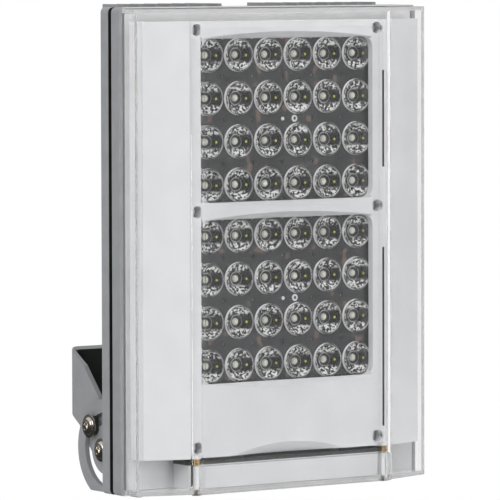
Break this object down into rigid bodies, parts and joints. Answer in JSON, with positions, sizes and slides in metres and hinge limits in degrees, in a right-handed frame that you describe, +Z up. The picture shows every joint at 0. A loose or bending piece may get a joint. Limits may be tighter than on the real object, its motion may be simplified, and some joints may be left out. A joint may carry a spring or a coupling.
{
  "type": "security floodlight",
  "caption": "White-light security floodlight: finned grey casting, clear stepped cover over two lens windows, removable clear insert, and a U-bracket it tilts on.",
  "frame": {"origin": "centre of the bracket's wall bolts, on the face that meets the wall", "axes": "+Z up, +Y into the wall, so the lamp looks along -Y and +X is to the right of someone facing the lamp"},
  "size_m": [0.2152, 0.1274, 0.2915],
  "materials": {
    "housing_paint": "satin grey paint",
    "frame_paint": "satin grey paint",
    "gasket_rubber": "matt",
    "seal_rubber": "matt",
    "cover_clear": "clear polycarbonate, gloss",
    "insert_clear": "clear polycarbonate, gloss",
    "bezel_white": "satin white moulding",
    "lens_clear": "clear acrylic, gloss",
    "board_white": "white solder mask on a metal core",
    "board_green": "solder mask",
    "emitter_phosphor": "yellow phosphor",
    "component_black": "moulded cases",
    "terminal_grey": "moulded",
    "lead_black": "insulation",
    "ear_paint": "satin grey paint",
    "bracket_paint": "satin grey paint",
    "stainless": "turned",
    "zinc": "plated",
    "brass_part": "turned",
    "gland_black": "nylon",
    "spacer_nylon": "black nylon"
  },
  "bodies": {
    "bracket": {"bracket": "bracket_paint", "pivot_bolt_left": "stainless", "pivot_bolt_right": "stainless", "lock_bolt_left": "stainless", "lock_bolt_right": "stainless", "tilt_washers": "stainless", "tilt_nuts": "stainless", "bolt_spacers": "spacer_nylon"},
    "lamp": {"heatsink_housing": "housing_paint", "front_frame": "frame_paint", "body_gasket": "gasket_rubber", "cover_seal": "seal_rubber", "front_cover": "cover_clear", "bezel": "bezel_white", "lower_guide": "bezel_white", "latch_inserts": "brass_part", "bezel_screws": "zinc", "frame_screws": "stainless", "lens_array_upper": "lens_clear", "lens_array_lower": "lens_clear", "led_board_upper": "board_white", "led_board_lower": "board_white", "led_emitters_upper": "emitter_phosphor", "led_emitters_lower": "emitter_phosphor", "led_board_screws": "zinc", "control_board": "board_green", "control_board_screws": "zinc", "board_components": "component_black", "terminal_block": "terminal_grey", "board_leads": "lead_black", "gland_body": "gland_black", "gland_nut": "gland_black", "gland_seal": "seal_rubber", "breather_vent": "gland_black", "tilt_ear_left": "ear_paint", "tilt_ear_right": "ear_paint", "ear_screws": "stainless"},
    "insert": {"lens_insert": "insert_clear", "insert_screws": "stainless"}
  },
  "joints": [
    {"name": "tilt", "type": "hinge", "parent": "bracket", "child": "lamp", "pos_m": [0, -0.0455, -0.0395], "axis": [1, 0, 0], "range_deg": [-9, 90]},
    {"name": "insert_slide", "type": "slide", "parent": "lamp", "child": "insert", "axis": [0, 0, -1], "range_m": [0, 0.26]}
  ]
}
